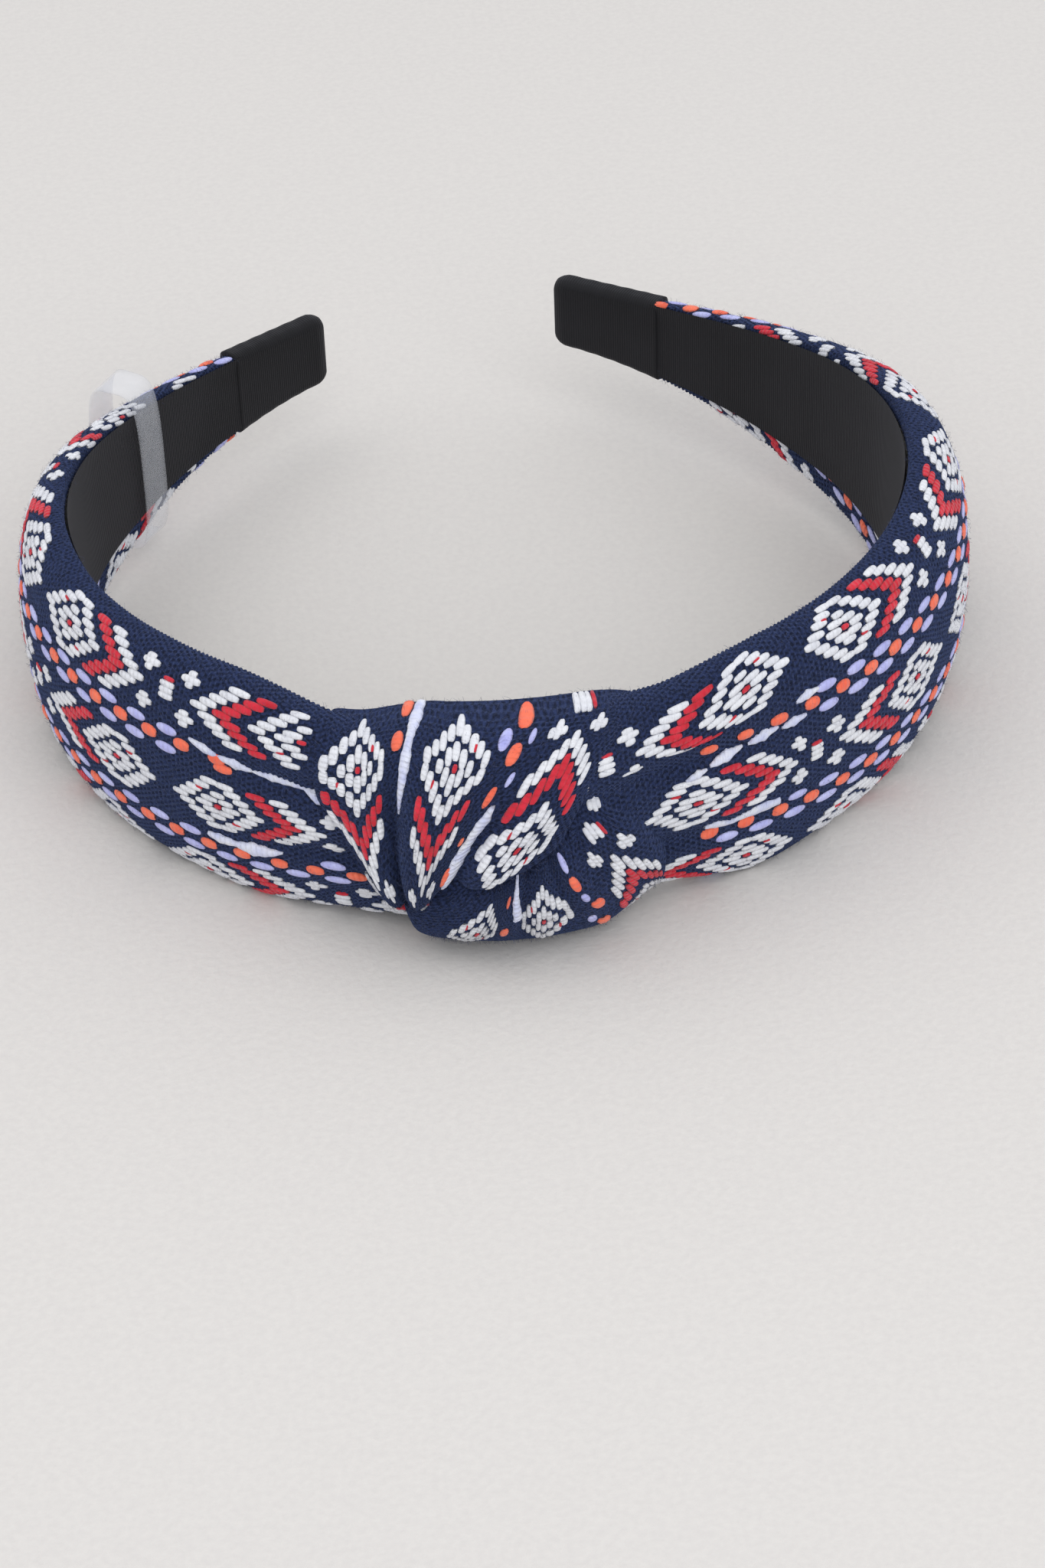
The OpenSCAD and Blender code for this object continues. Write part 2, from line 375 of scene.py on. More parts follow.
def column(centre_u, centre_v, direction=1, motifs=tuple(MOTIFS)):
    """One half period of a column, from the cluster at centre_u towards direction."""
    return [
        (centre_u + direction * u, centre_v + v, length, width, colour)
        for motif in motifs
        for u, v, length, width, colour in MOTIFS[motif]
    ]


def both_ways(centre_u, centre_v):
    return column(centre_u, centre_v) + column(centre_u, centre_v, -1, ("white", "red", "diamond"))


def bead_row(first_u, last_u, at_v, phase):
    beads = []
    start = phase + BEAD_PITCH * math.ceil((first_u - phase) / BEAD_PITCH)
    for u in np.arange(start, last_u, BEAD_PITCH):
        beads.append((u, at_v, 2.7, 2.15, "orange"))
        for side in (-1, 1):
            beads.append((u + BEAD_PITCH / 2, at_v + side * 1.65, 3.7, 1.75, "lavender"))
    return beads


# How far each colour's yarn stands off the cloth, and how pointed its floats are
HEIGHTS = {"white": 0.27, "red": 0.27, "orange": 0.4, "lavender": 0.26}
BLUNTNESS = {"white": 0.45, "red": 0.45, "orange": 0.72, "lavender": 0.9}
RINGS, AROUND = 7, 8


def float_template(bluntness):
    """Unit outline of a yarn float: along, across and up, for every ring and every step around."""
    turn = math.pi * (np.arange(RINGS) + 0.5) / RINGS
    along = -np.cos(turn) / 2
    radius = np.sin(turn) ** bluntness
    angle = 2 * math.pi * np.arange(AROUND) / AROUND
    across = radius[:, None] * np.cos(angle)[None, :] / 2
    up = radius[:, None] * np.sin(angle)[None, :]
    along = np.repeat(along[:, None], AROUND, 1)
    return along.ravel(), across.ravel(), up.ravel(), np.tile(angle, RINGS)


def float_piece(name, cloth, floats, material, colour, warp=None):
    """All the floats of one colour on one cloth, as one mesh."""
    data = np.array([f[:4] for f in floats if f[4] == colour], float)
    if not len(data):
        return None
    jitter = chance.normal(0, 1, (len(data), 4)) * np.array([0.1, 0.05, 0.14, 0.04])
    data = data + jitter
    along, across, up, angle = float_template(BLUNTNESS[colour])
    u = data[:, 0:1] + along * data[:, 2:3]
    v = data[:, 1:2] + across * data[:, 3:4]
    if warp:
        u, v = warp(u, v)
    low, high = cloth.limits(data[:, 0])
    inside = (data[:, 1] > low + 0.6) & (data[:, 1] < high - 0.6)
    inside &= (u.min(1) > cloth.u[0] + 0.5) & (u.max(1) < cloth.u[-1] - 0.5)
    u, v = u[inside], v[inside]
    height = HEIGHTS[colour] * (1 + 0.1 * chance.normal(0, 1, (len(u), 1)))
    points = cloth.at(u, v, 0.02 + up * height)
    count = RINGS * AROUND
    one = tube_faces(RINGS, AROUND)
    faces = [[i + k * count for i in face] for k in range(len(u)) for face in one]
    uv = np.stack([u - data[inside, 0:1], np.broadcast_to(angle, u.shape)], -1)
    return make_piece(name, points, faces, material, uv)


def strip_piece(name, cloth, strips, material):
    """Long pale floats that lie in the pleats. Each strip is a list of (u, v, width) from end to end."""
    points, faces, uv = [], [], []
    rings = 28
    for strip in strips:
        path = np.array(strip, float)
        t = np.linspace(0, len(path) - 1, rings)
        u, v, width = (np.interp(t, np.arange(len(path)), path[:, k]) for k in range(3))
        width = width * (1 + 0.1 * np.sin(t * 9))
        start = len(points) * rings * AROUND
        angle = 2 * math.pi * np.arange(AROUND) / AROUND
        across = width[:, None] * np.cos(angle) / 2
        up = 0.02 + 0.4 * np.sin(angle)[None, :] * np.minimum(1, width[:, None])
        points.append(cloth.at(u[:, None] + across * 0, v[:, None] + across, up))
        faces += [[i + start for i in face] for face in tube_faces(rings, AROUND)]
        uv.append(np.stack([u[:, None] + across * 0, angle[None, :] + across * 0], -1))
    return make_piece(name, np.array(points), faces, material, np.array(uv))


# ---- Materials ----


def new_material(name):
    material = bpy.data.materials.new(name)
    material.use_nodes = True
    nodes = material.node_tree.nodes
    return material, nodes, material.node_tree.links, nodes["Principled BSDF"]


def math_node(nodes, links, operation, a, b=None):
    node = nodes.new("ShaderNodeMath")
    node.operation = operation
    for socket, value in zip(node.inputs, (a, b)):
        if value is None:
            continue
        if isinstance(value, (int, float)):
            socket.default_value = value
        else:
            links.new(value, socket)
    return node.outputs[0]


def noise(nodes, links, scale, detail=3.0, vector=None):
    node = nodes.new("ShaderNodeTexNoise")
    node.inputs["Scale"].default_value = scale
    node.inputs["Detail"].default_value = detail
    if vector is None:
        vector = nodes.new("ShaderNodeTexCoord").outputs["Object"]
    links.new(vector, node.inputs["Vector"])
    return node.outputs["Fac"]


def varied_colour(nodes, links, shader, factor, dark, light):
    ramp = nodes.new("ShaderNodeValToRGB")
    ramp.color_ramp.elements[0].position = 0.3
    ramp.color_ramp.elements[1].position = 0.7
    ramp.color_ramp.elements[0].color = (*dark, 1)
    ramp.color_ramp.elements[1].color = (*light, 1)
    links.new(factor, ramp.inputs["Fac"])
    links.new(ramp.outputs["Color"], shader.inputs["Base Color"])


def bump(nodes, links, shader, height, distance):
    node = nodes.new("ShaderNodeBump")
    node.inputs["Distance"].default_value = distance
    node.inputs["Strength"].default_value = 1.0
    links.new(height, node.inputs["Height"])
    links.new(node.outputs["Normal"], shader.inputs["Normal"])


def cloth_coordinates(nodes, links):
    uv = nodes.new("ShaderNodeUVMap")
    uv.uv_map = "cloth"
    split = nodes.new("ShaderNodeSeparateXYZ")
    links.new(uv.outputs["UV"], split.inputs[0])
    return uv.outputs["UV"], split.outputs["X"], split.outputs["Y"]


def soft_fabric(shader, roughness, sheen, tint):
    shader.inputs["Roughness"].default_value = roughness
    shader.inputs["Specular IOR Level"].default_value = 0.25
    shader.inputs["Sheen Weight"].default_value = sheen
    shader.inputs["Sheen Roughness"].default_value = 0.5
    shader.inputs["Sheen Tint"].default_value = (*tint, 1)


def navy_weave():
    """Ribbed ground cloth: each rib is a row of small stitches, set half a stitch over from the next row."""
    material, nodes, links, shader = new_material("navy_weave")
    uv, u, v = cloth_coordinates(nodes, links)
    row = math_node(nodes, links, "FLOOR", math_node(nodes, links, "DIVIDE", u, RIB))
    shift = math_node(nodes, links, "MULTIPLY", row, 0.5)
    along_row = math_node(nodes, links, "ADD", math_node(nodes, links, "DIVIDE", v, 0.95), shift)
    stitch = math_node(nodes, links, "COSINE", math_node(nodes, links, "MULTIPLY", along_row, 2 * math.pi))
    fibres = noise(nodes, links, 5.0, 4.0, uv)
    stitch_height = math_node(nodes, links, "MULTIPLY", stitch, 0.32)
    height = math_node(nodes, links, "ADD", stitch_height, math_node(nodes, links, "MULTIPLY", fibres, 0.9))
    bump(nodes, links, shader, height, 0.0003)
    patch = noise(nodes, links, 2.0, 4.0, uv)
    spread = math_node(nodes, links, "MULTIPLY", math_node(nodes, links, "SUBTRACT", patch, 0.5), 1.7)
    # Painted shade: the stitch term follows the stitch bump, darker in the dips between stitches and lighter
    # on their crests. The patch noise is the cloth's own random tone.
    stitch_relief_shade = math_node(nodes, links, "MULTIPLY", stitch, 0.12)
    tone = math_node(nodes, links, "ADD", math_node(nodes, links, "ADD", spread, stitch_relief_shade), 0.48)
    varied_colour(nodes, links, shader, tone, (0.0035, 0.0065, 0.022), (0.021, 0.034, 0.1))
    soft_fabric(shader, 0.92, 0.3, (0.25, 0.36, 0.75))
    return material


def yarn(name, dark, light):
    """Twisted yarn: slanting plies and loose fibres."""
    material, nodes, links, shader = new_material(name)
    uv, along, around = cloth_coordinates(nodes, links)
    turns = math_node(nodes, links, "MULTIPLY", along, 2 * math.pi / 0.8)
    ply = math_node(nodes, links, "SINE", math_node(nodes, links, "ADD", turns, around))
    fibres = noise(nodes, links, 4.0, 3.0, uv)
    height = math_node(nodes, links, "ADD", math_node(nodes, links, "MULTIPLY", ply, 0.4), fibres)
    bump(nodes, links, shader, height, 0.00018)
    patch = noise(nodes, links, 420.0, 4.0)
    varied_colour(nodes, links, shader, patch, dark, light)
    soft_fabric(shader, 0.75, 0.2, (1, 1, 1))
    return material


def satin_ribbon():
    material, nodes, links, shader = new_material("black_ribbon")
    uv, u, v = cloth_coordinates(nodes, links)
    wave = math_node(nodes, links, "SINE", math_node(nodes, links, "MULTIPLY", u, 2 * math.pi / 0.45))
    fibres = noise(nodes, links, 3.0, 3.0, uv)
    bump(nodes, links, shader, math_node(nodes, links, "ADD", wave, fibres), 0.00003)
    patch = noise(nodes, links, 60.0, 4.0)
    varied_colour(nodes, links, shader, patch, (0.004, 0.004, 0.005), (0.009, 0.009, 0.011))
    soft_fabric(shader, 0.7, 0.08, (0.6, 0.6, 0.7))
    return material


def plain_fabric(name, dark, light, scale, roughness=0.95):
    material, nodes, links, shader = new_material(name)
    cells = noise(nodes, links, scale, 5.0)
    bump(nodes, links, shader, cells, 0.0003)
    varied_colour(nodes, links, shader, cells, dark, light)
    soft_fabric(shader, roughness, 0.1, (1, 1, 1))
    return material


def clear_film():
    material, nodes, links, shader = new_material("clear_film")
    haze = noise(nodes, links, 300.0, 2.0)
    bump(nodes, links, shader, haze, 0.00003)
    varied_colour(nodes, links, shader, haze, (0.75, 0.78, 0.84), (0.85, 0.87, 0.92))
    shader.inputs["Roughness"].default_value = 0.18
    shader.inputs["Alpha"].default_value = 0.2
    return material


def floor_cloth():
    material, nodes, links, shader = new_material("pale_floor")
    grain = noise(nodes, links, 900.0, 2.0)
    bump(nodes, links, shader, grain, 0.0001)
    varied_colour(nodes, links, shader, grain, (0.655, 0.63, 0.6), (0.685, 0.66, 0.625))
    shader.inputs["Roughness"].default_value = 0.95
    shader.inputs["Specular IOR Level"].default_value = 0.1
    return material


NAVY = navy_weave()
YARNS = {
    "white": yarn("white_yarn", (0.73, 0.74, 0.79), (0.88, 0.89, 0.92)),
    "red": yarn("red_yarn", (0.56, 0.013, 0.03), (0.76, 0.03, 0.058)),
    "orange": yarn("orange_yarn", (0.9, 0.14, 0.075), (1.0, 0.22, 0.12)),
    "lavender": yarn("lavender_yarn", (0.42, 0.43, 0.82), (0.6, 0.62, 0.96)),
}
PALE = yarn("pale_yarn", (0.56, 0.6, 0.86), (0.82, 0.84, 0.9))
LINT = plain_fabric("lint", (0.05, 0.06, 0.13), (0.1, 0.11, 0.2), 300.0)
RIBBON = satin_ribbon()
FOAM = plain_fabric("foam", (0.6, 0.57, 0.48), (0.75, 0.72, 0.64), 900.0)
CORE = plain_fabric("core_plastic", (0.62, 0.61, 0.58), (0.68, 0.67, 0.64), 200.0, 0.5)
THREAD = plain_fabric("thread", (0.008, 0.008, 0.01), (0.02, 0.02, 0.024), 2500.0)

# ---- The sleeves ----

GIRTH_STEPS = 161


def sleeve_thickness(s):
    """The padding, swelling to meet the knot on its right side, where the cloth runs out of the knot."""
    rise = smooth((24.0 - s) / 16.0) * (s > 0)
    fuller = 1.3 * smooth((s - 26.0) / 30.0) * fullness(s)
    return thickness_at(s) + fuller + rise * np.maximum(knot_thickness_at(s) - 1.0 - thickness_at(s), 0)


def top_swell(s):
    """How far the padding stands above the band's plain height."""
    left = 0.8 * smooth((-s - 28) / 10.0) * (1 - smooth((-s - 56) / 24.0))
    right = (1.4 + 0.9 * (1 - smooth((s - 22) / 14.0))) * fullness(s)
    return np.where(s < 0, left, right)


def low_swell(s):
    """How far the gathered cloth hangs below the band's plain height near the knot."""
    return np.where(s < 0, 2.5 * beside_knot(s, 26.0), 1.5 * hump(s, 30.0, 12.0))


def sleeve_section(at):
    """The sleeve's outline at s: n, z and the length of cloth from the middle of the outer face."""
    beta = np.linspace(-math.pi / 2, math.pi / 2, GIRTH_STEPS)
    half = float(height_at(at)) / 2
    n = 0.1 + (float(sleeve_thickness(at)) - 0.1) * np.maximum(np.cos(beta), 0) ** 0.6
    z = np.sin(beta) * np.where(beta > 0, half + float(top_swell(at)), half + float(low_swell(at)))
    run = np.r_[0, np.cumsum(np.hypot(np.diff(n), np.diff(z)))]
    return n, z, run - run[GIRTH_STEPS // 2]


def sleeve_limits(side):
    stations = np.arange(0.0, ARM_LENGTH + 2, 1.0)
    ends = np.array([sleeve_section(side * at)[2][[0, -1]] for at in stations])

    def limits(u):
        squeeze = half_squeeze(side * u)
        low = np.interp(u, stations, ends[:, 0]) - low_margin_at(u)
        high = np.interp(u, stations, ends[:, 1]) + top_margin_at(u)
        return low / squeeze, high / squeeze

    return limits


def half_squeeze(s):
    """How much the gathers beside the knot narrow the cloth."""
    return 1 - 0.12 * beside_knot(s, 24.0)


def pleats(s, v):
    """Folds that run out of the knot along the sleeve."""
    left = s < 0
    depth = np.where(left, 1.5 * hump(v, 7.6, 1.2) + 1.3 * hump(v, -5.2, 1.3), 0)
    depth += np.where(left, 0, 1.3 * hump(v, 9.0, 1.3) + 1.3 * hump(v, -6.5, 1.4))
    depth += 0.7 * hump(v, -14.5, 1.5) - 0.5 * hump(v, 1.5, 3.5) - 0.4 * hump(v, 14.5, 3.0)
    return -depth * beside_knot(s, 26.0)


def sleeve_shape(side):
    def shape(u, v):
        s = side * u
        rows = s[:, 0]
        out = np.empty(u.shape + (2,))
        for i, at in enumerate(rows):
            n, z, run = sleeve_section(at)
            # beyond both edges the cloth turns onto the inside of the band
            run = np.r_[run[0] - 14, run, run[-1] + 14]
            n = np.r_[0.05, n, 0.05]
            z = np.r_[z[0] + 14, z, z[-1] - 14]
            v_here = v[i] * float(half_squeeze(at))
            n_at, z_at = np.interp(v_here, run, n), np.interp(v_here, run, z)
            fold = pleats(at, v[i])
            out_share = smooth(n_at / 4.0)
            out[i, :, 0] = n_at + fold * out_share
            out[i, :, 1] = z_at
        soft = out.copy()
        for _ in range(2):
            soft[:, 1:-1] = 0.25 * soft[:, :-2] + 0.5 * soft[:, 1:-1] + 0.25 * soft[:, 2:]
        z = np.maximum(soft[..., 1] + middle_at(s), 0.02)
        return place(s, soft[..., 0], z)

    return shape


def sleeve_columns():
    """Where the mesh has its lines across the cloth: closer together around both edges."""
    low = np.linspace(0, 0.15, 7)[:-1]
    low_edge = np.linspace(0.15, 0.27, 10)[:-1]
    face = np.linspace(0.27, 0.88, 25)[:-1]
    top_edge = np.linspace(0.88, 1.0, 11)
    return np.concatenate([low, low_edge, face, top_edge])


# Where the columns and the rows of beads run on each arm: v, and the u of one cluster or one bead
COLUMNS = {
    -1: ((15.9, 54.0), (-0.6, 84.6), (-17.2, 28.5), (-33.6, 59.0)),
    1: ((18.7, 68.2), (1.3, 38.6), (-15.4, 68.2), (-32.0, 38.6)),
}
BEAD_ROWS = {
    -1: ((8.1, 45.2), (-9.4, 47.8), (-25.4, 45.2)),
    1: ((10.3, 27.4), (-7.1, 32.9), (-23.8, 27.4)),
}
FIRST_BEAD = {-1: 24, 1: 18}
# Where the gathers hide a colour, or every colour: the u and v that it is missing between
HIDDEN = {
    -1: (
        ("lavender", (-99, 50), (5, 12)),
        ("orange", (-99, 44), (5, 12)),
        ("lavender", (32, 48), (-9.3, -4)),
        (None, (-99, 32.5), (9, 99)),
    ),
    1: (("lavender", (-99, 37), (5, 14)), ("lavender", (21, 34.5), (-7.5, -1))),
}
# Pale floats in the pleats beside the knot: u, v and width from end to end
SLEEVE_STRIPS = {
    -1: (
        (
            (49.5, 9.9, 0.5), (47, 9.2, 1.7), (45, 8.7, 0.6), (42.3, 8.3, 2.1), (39.8, 7.9, 0.5),
            (37, 7.8, 1.6), (34.5, 7.5, 1.1), (32.5, 7.1, 0.5), (30.5, 6.4, 2.1), (27, 5.8, 1.5),
        ),
        (
            (47.5, -7.0, 0.8), (45.5, -7.4, 2.0), (43, -7.4, 1.0), (40.5, -7.7, 2.9), (38, -7.5, 1.8),
            (36, -7.0, 0.4),
        ),
    ),
    1: (
        ((37.5, 8.9, 0.5), (35.3, 8.7, 1.7), (33.5, 8.5, 0.5)),
        ((40, 12.2, 0.4), (37.8, 12.1, 1.7), (36, 11.7, 0.5)),
        ((33, 9.0, 0.5), (30.6, 8.7, 2.0), (28.2, 8.3, 0.5)),
        ((27.4, 8.4, 0.5), (24.8, 7.9, 2.0), (22.3, 7.3, 0.6)),
        ((21.8, 7.0, 0.4), (20.4, 6.7, 1.4), (18.6, 6.2, 0.5)),
        (
            (21.5, -5.3, 0.7), (23.5, -5.6, 2.2), (25.5, -6.2, 1.0), (27.3, -5.6, 1.4), (30, -5.1, 2.4),
            (33, -5.0, 1.4),
        ),
    ),
}


def sleeve_floats(side):
    """The pattern on one arm. Neighbouring columns are about half a period apart."""
    floats = []
    for at_v, cluster_u in COLUMNS[side]:
        for turn in range(-2, 4):
            centre = cluster_u + turn * PERIOD
            if -40 < centre < 240:
                floats += both_ways(centre, at_v)
    for at_v, bead_u in BEAD_ROWS[side]:
        floats += bead_row(FIRST_BEAD[side], WRAP_START, at_v, bead_u)
    for colour, (u_low, u_high), (v_low, v_high) in HIDDEN[side]:
        floats = [
            f for f in floats
            if not (colour in (None, f[4]) and u_low < f[0] < u_high and v_low < f[1] < v_high)
        ]
    if side < 0:
        floats.append((44.0, 6.9, 3.2, 1.5, "orange"))
    return floats


def gathered(side):
    """The gathers at the knot pull the pattern along and across the cloth."""

    def warp(u, v):
        if side < 0:
            return u + 1.3 * (1 - smooth((u - 24) / 26.0)) * hump(v, -0.6, 7.0), v
        near = 1 - smooth((u - 17) / 17.0)
        along = 2.8 * (1 - smooth((u - 26) / 16.0)) * hump(v, 1.3, 7.0)
        return u + along, v - 3.6 * near * smooth((v - 11.5) / 5.0)

    return warp


def arm_blend(piece, side):
    """Works out where the arm would bend beside the knot, but only bakes the piece's placement into its mesh.
    """
    bend = (-27.5, -44.0) if side < 0 else (16.5, 33.0)
    start, end = (Vector(place(s, 4.0, BAND_MIDDLE) * MM) for s in bend)
    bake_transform(piece)


def sleeve(side):
    word = ARM_NAMES[side]
    first = 12.0 if side < 0 else 2.0
    cloth = Cloth(sleeve_shape(side), (first, WRAP_START + 2), (-36, 30), limits=sleeve_limits(side))
    piece = weave_piece(f"{word}_sleeve", cloth, (first, WRAP_START + 1), sleeve_columns(), NAVY)
    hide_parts(f"cover_{word}")
    floats = sleeve_floats(side)
    extras = [float_piece(f"{word}_{c}_floats", cloth, floats, YARNS[c], c, gathered(side)) for c in YARNS]
    extras.append(strip_piece(f"{word}_pale_strips", cloth, SLEEVE_STRIPS[side], PALE))
    extras.append(fuzz_piece(f"{word}_fuzz", cloth, (first + 1, WRAP_START), (-40, 40), 5000, LINT))
    extras = [e for e in extras if e]
    for part in [piece, *extras]:
        arm_blend(part, side)


# ---- The knot ----


def guided(guides, row_u, guide_v, u, v, softness):
    """Places on the knot for cloth points, led by a few fold lines. Each guide lists (s, angle) at row_u."""
    table = np.array(guides, float)
    out = []
    for k in range(2):
        along = np.stack([np.interp(u[:, 0], row_u, line) for line in table[:, :, k]], 1)
        out.append(np.stack([np.interp(v[0], guide_v, row) for row in along]))
    return [blurred(grid, softness) for grid in out]


# Lines of the flap over the top and down to the crease: v, then (s, angle) at each of the rows' u.
# flap_shape adds two points on the inside of the hoop and one past the crease.
FLAP_ROWS = (-19, -14, -8, 0, 8, 13.4, 17.1, 22, 26)
FLAP_LINES = (
    (-11.0, ((-32.2, 82), (-33.0, 45), (-31.6, 19), (-27.6, 6), (-24.4, -8), (-21.4, -24))),
    (-6.0, ((-30.8, 82), (-31.6, 45), (-30.4, 19), (-26.8, 6), (-23.8, -8), (-20.9, -24))),
    (0.0, ((-25.0, 87), (-24.2, 50), (-24.0, 19), (-23.0, -2), (-21.2, -17), (-19.2, -31))),
    (8.2, ((-18.3, 90), (-18.5, 60), (-18.8, 28), (-19.0, 10), (-18.9, -8), (-17.8, -28))),
    (16.4, ((-11.0, 88), (-11.6, 56), (-14.0, 24), (-15.2, 1), (-16.2, -14), (-16.0, -27))),
    (24.6, ((-1.4, 88), (-4.8, 58), (-9.0, 30), (-11.4, 14), (-12.8, 3), (-14.2, -13))),
    (32.8, ((6.5, 86), (2.8, 60), (-1.8, 28), (-4.5, 15), (-6.4, 6), (-8.8, -8))),
    (41.0, ((14.0, 86), (9.4, 58), (4.6, 32), (2.7, 21), (1.0, 13), (-1.0, 8))),
)


def flap_shape(u, v):
    guides = []
    for _, line in FLAP_LINES:
        top = line[0][0]
        last = line[-1]
        guides.append([(top + 1, 205), (top, 135), *line, (last[0], last[1] - 12)])
    s, angle = guided(guides, FLAP_ROWS, [g[0] for g in FLAP_LINES], u, v, 6)
    lower = smooth(u / 12)
    lift = 0.7 + 0 * u
    lift += -3.3 * lower * hump(v, 6.8, 1.6) - 0.7 * (1 - lower) * smooth((u + 9) / 8) * hump(v, 7.5, 1.5)
    lift += -2.8 * smooth((u - 2) / 12) * hump(v, 27.0, 1.5)
    folds = 0.9 * lower * hump(v, 12.5, 3.2) + 0.7 * lower * hump(v, 1.0, 3.0)
    lift += folds + 0.8 * lower * hump(v, 32.5, 3.2)
    left_edge = np.clip((-4.6 - v) / 3.4, 0, 1.5)
    lift -= 5.0 * left_edge**2
    crease = np.clip((u - 20.3) / 3.0, 0, 1.6)
    lift += 0.9 * hump(u, 18.2, 3.2) - 6.5 * crease**2
    right_edge = np.clip((v - 37.5) / 4.5, 0, 1.5)
    lift -= 2.2 * right_edge**1.5
    points = knot_point(s, angle, blurred(lift, 2))
    top = smooth((np.sin(np.radians(angle)) - 0.25) / 0.6)
    points[..., 2] -= top * (3.0 * smooth((-15.0 - s) / 14.0) + smooth((s - 6.0) / 9.0))
    return blurred(points, 4)


# Lines of the roll down its front: v, then (s, angle) at each of the rows' u.
# roll_shape adds one point under the flap and three under the band.
ROLL_ROWS = (-5, 0, 7, 14, 21, 27, 36, 40)
ROLL_LINES = (
    (-13.0, ((-19.5, -22), (-20.4, -34), (-19.2, -50), (-16.6, -64))),
    (-8.2, ((-12.5, -13), (-15.0, -27), (-16.0, -44), (-14.9, -62))),
    (0.0, ((-6.5, -2), (-8.2, -20), (-10.2, -41), (-12.2, -62))),
    (8.2, ((-4.4, 4), (-5.7, -12), (-5.9, -35), (-6.3, -61))),
    (16.4, ((-1.8, 7), (-1.8, -9), (-1.8, -32), (-1.7, -60))),
    (24.6, ((-0.2, 12), (2.0, -7), (5.0, -27), (6.6, -59))),
    (32.8, ((3.2, 23), (7.0, 0), (11.0, -24), (13.6, -54))),
    (41.0, ((8.5, 24), (13.0, 8), (16.2, -16), (16.2, -42))),
)


def roll_shape(u, v):
    guides = []
    for _, line in ROLL_LINES:
        first, last = line[0], line[-1]
        guides.append([(first[0], first[1] + 16), *line, (last[0], -95), (last[0], -150), (last[0], -160)])
    s, angle = guided(guides, ROLL_ROWS, [g[0] for g in ROLL_LINES], u, v, 6)
    belly = 1.7 * hump(u, 9.5, 6.0) * smooth((v + 13) / 6) * smooth((30 - v) / 8)
    lift = 0.9 + belly - 1.6 * hump(u, 0.5, 2.2)
    upper = smooth((22 - u) / 12)
    lift += -1.5 * hump(v, 12.3, 1.6) * upper - 1.3 * hump(v, 20.6, 1.5) * upper
    lift += -0.9 * hump(v, 29.0, 1.6) * smooth((18 - u) / 12)
    lift -= 5.0 * np.clip((1.5 - u) / 5.0, 0, 1.5) ** 2
    lift -= 5.5 * np.clip((-10.5 - v) / 2.5, 0, 1.4) ** 2
    lift -= 3.2 * np.clip((v - 38.0) / 3.0, 0, 1.4) ** 2
    points = knot_point(s, angle, blurred(lift, 2))
    bottom = smooth((-np.sin(np.radians(angle)) - 0.2) / 0.7)
    points[..., 2] += 3.8 * bottom * smooth((s - 6.0) / 9.0)
    return blurred(points, 4)


def knot_piece(name, node, cloth, u_range, v_range, floats, strips):
    columns = np.linspace(0, 1, int((v_range[1] - v_range[0]) / 0.6))
    piece = weave_piece(name, cloth, u_range, columns, NAVY)
    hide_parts(node)
    extras = [float_piece(f"{name}_{c}_floats", cloth, floats, YARNS[c], c) for c in YARNS]
    if strips:
        extras.append(strip_piece(f"{name}_pale_strips", cloth, strips, PALE))
    fuzzy_u = (u_range[0] + 6, u_range[1] - 4)
    fuzzy_v = (v_range[0] + 4, v_range[1] - 3)
    extras.append(fuzz_piece(f"{name}_fuzz", cloth, fuzzy_u, fuzzy_v, 1600, LINT))
    extras = [e for e in extras if e]
    for part in [piece, *extras]:
        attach(part, "crown")


def knot_flap():
    cloth = Cloth(flap_shape, (-19, 24.5), (-10.6, 43.2), 0.4)
    floats = column(21.3, 0.0, -1) + column(21.3, 16.4, -1) + column(-8.0, 32.8, 1)
    floats += [
        (-8.3, 7.4, 2.6, 2.1, "orange"),
        (-3.0, 6.9, 3.6, 2.1, "orange"),
        (-7.0, 24.6, 3.0, 2.1, "orange"),
        (-1.6, 24.6, 3.4, 1.9, "orange"),
        (4.8, 24.2, 3.0, 1.3, "orange"),
        (17.6, 24.0, 3.4, 1.9, "orange"),
        (11.5, 23.6, 1.6, 0.9, "orange"),
        (-4.0, 22.4, 3.4, 1.8, "lavender"),
        (-4.0, 26.2, 2.6, 0.9, "lavender"),
        (2.2, 25.8, 2.2, 0.8, "lavender"),
    ]
    strips = [
        [
            (-8.6, 9.6, 1.6), (-6.5, 9.3, 2.2), (-4.5, 9.1, 1.5), (-2.5, 8.9, 1.3),
            (0.5, 8.7, 2.0), (3.5, 8.6, 1.5), (6.0, 8.4, 0.9), (8.5, 8.3, 0.4),
        ],
        [
            (6.0, 25.6, 0.6), (9.0, 25.7, 2.2), (12.0, 25.6, 1.9),
            (15.0, 25.4, 3.0), (18.0, 25.3, 3.0), (20.5, 25.2, 1.8),
        ],
    ]
    knot_piece("flap", "knot_flap", cloth, (-18.8, 24.2), (-10.4, 43), floats, strips)


def knot_roll():
    cloth = Cloth(roll_shape, (-5, 39.5), (-13.4, 41), 0.4)
    floats = column(2.5, 33.0, 1)
    floats += column(-9.0, 16.4, 1, ("diamond",)) + column(-9.5, 0.0, 1, ("diamond",))
    floats += [
        (3.0, 24.6, 2.8, 1.7, "lavender"),
        (6.8, 24.6, 3.0, 1.9, "orange"),
        (10.2, 24.6, 2.2, 1.4, "lavender"),
        (13.2, 25.4, 2.6, 2.2, "orange"),
        (16.4, 23.6, 2.2, 1.4, "lavender"),
        (18.6, 25.2, 2.4, 2.2, "orange"),
        (6.2, 7.4, 2.6, 1.2, "orange"),
        (13.4, 7.2, 3.0, 2.2, "orange"),
    ]
    strips = [[(2.0, 8.8, 0.9), (5.0, 9.4, 1.3), (8.0, 10.0, 2.0), (10.5, 10.4, 2.2)]]
    knot_piece("roll", "knot_roll", cloth, (-4.8, 39.2), (-13.4, 41), floats, strips)


